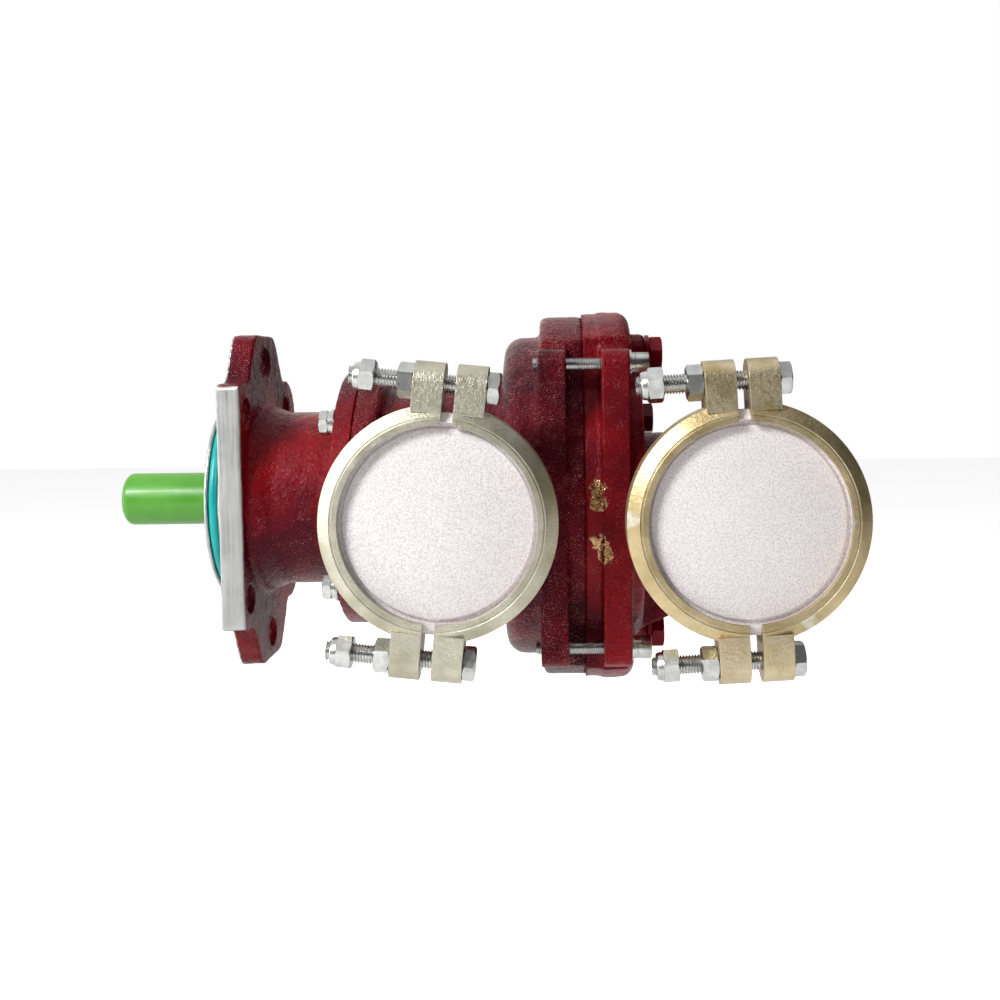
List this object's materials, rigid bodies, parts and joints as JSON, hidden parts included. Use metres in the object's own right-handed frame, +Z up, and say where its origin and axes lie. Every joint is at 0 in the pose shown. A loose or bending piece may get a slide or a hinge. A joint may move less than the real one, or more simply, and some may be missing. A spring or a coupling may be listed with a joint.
{
  "type": "engine raw water pump",
  "caption": "Flange mounted centrifugal raw water pump with a keyed drive end, an elbow inlet and a side outlet, both ports closed by discs in bolted V-clamps.",
  "frame": {"origin": "centre of the mounting flange's face, on the shaft's axis", "axes": "+X along the shaft from the mounting face towards the suction end, both ports face -Y, +Z up"},
  "size_m": [0.4246, 0.2645, 0.225],
  "materials": {
    "red_paint": "semi-gloss crimson paint on rough sand casting",
    "teal_rubber": "satin",
    "black_rubber": "satin",
    "green_plastic": "smooth",
    "cover_white": "matt, finely speckled",
    "clamp_steel": "cast and blasted, satin, olive tint",
    "zinc_steel": "zinc plated",
    "shaft_steel": "ground",
    "spring_steel": "blued",
    "bearing_steel": "polished",
    "brass_cage": "machined",
    "bronze": "cast and machined",
    "seal_ceramic": "lapped"
  },
  "bodies": {
    "root": {"bearing_housing": "red_paint", "spigot_o_ring": "teal_rubber", "discharge_casing": "red_paint", "suction_casing": "red_paint", "casing_o_ring": "black_rubber", "housing_o_ring": "black_rubber", "housing_screws": "zinc_steel", "housing_screw_washers": "zinc_steel", "casing_screws": "red_paint", "casing_screw_washers": "red_paint", "casing_cap_screws": "zinc_steel", "cap_screw_washers": "zinc_steel", "bearing_circlip": "spring_steel", "front_bearing_outer_ring": "bearing_steel", "rear_bearing_outer_ring": "bearing_steel", "oil_seal": "black_rubber", "seal_seat": "seal_ceramic", "seal_seat_o_ring": "black_rubber", "wear_ring": "bronze", "discharge_gasket": "black_rubber", "discharge_cover": "cover_white", "discharge_clamp_head_side": "clamp_steel", "discharge_clamp_bolts": "zinc_steel", "discharge_lock_nuts": "zinc_steel", "suction_gasket": "black_rubber", "suction_cover": "cover_white", "suction_clamp_head_side": "clamp_steel", "suction_clamp_bolts": "zinc_steel", "suction_lock_nuts": "zinc_steel"},
    "rotor": {"drive_shaft": "shaft_steel", "shaft_circlip": "spring_steel", "front_bearing_inner_ring": "bearing_steel", "rear_bearing_inner_ring": "bearing_steel", "bearing_spacer": "shaft_steel", "water_slinger": "black_rubber", "seal_head": "shaft_steel", "seal_spring": "spring_steel", "impeller_key": "shaft_steel", "impeller": "bronze", "impeller_washer": "shaft_steel", "impeller_nut": "bronze"},
    "front_ball_set": {"front_bearing_balls": "bearing_steel", "front_bearing_cage": "brass_cage"},
    "rear_ball_set": {"rear_bearing_balls": "bearing_steel", "rear_bearing_cage": "brass_cage"},
    "protector": {"shaft_protector": "green_plastic"},
    "discharge_clamp": {"discharge_clamp_nut_side": "clamp_steel", "discharge_clamp_nuts": "zinc_steel"},
    "suction_clamp": {"suction_clamp_nut_side": "clamp_steel", "suction_clamp_nuts": "zinc_steel"}
  },
  "joints": [
    {"name": "shaft_spin", "type": "hinge", "parent": "root", "child": "rotor", "pos_m": [0, 0, 0], "axis": [1, 0, 0], "continuous": true},
    {"name": "front_ball_orbit", "type": "hinge", "parent": "root", "child": "front_ball_set", "pos_m": [0.0135, 0, 0], "axis": [1, 0, 0], "continuous": true},
    {"name": "rear_ball_orbit", "type": "hinge", "parent": "root", "child": "rear_ball_set", "pos_m": [0.054, 0, 0], "axis": [1, 0, 0], "continuous": true},
    {"name": "protector_pull", "type": "slide", "parent": "rotor", "child": "protector", "axis": [-1, 0, 0], "range_m": [0, 0.065]},
    {"name": "discharge_clamp_open", "type": "slide", "parent": "root", "child": "discharge_clamp", "axis": [-0.9945, 0, 0.1045], "range_m": [0, 0.0112]},
    {"name": "suction_clamp_open", "type": "slide", "parent": "root", "child": "suction_clamp", "axis": [-0.9988, 0, -0.048], "range_m": [0, 0.0112]}
  ],
  "couplings": [
    {"joint": "front_ball_orbit", "follows": "shaft_spin", "ratio": 0.3794},
    {"joint": "rear_ball_orbit", "follows": "shaft_spin", "ratio": 0.3965}
  ]
}
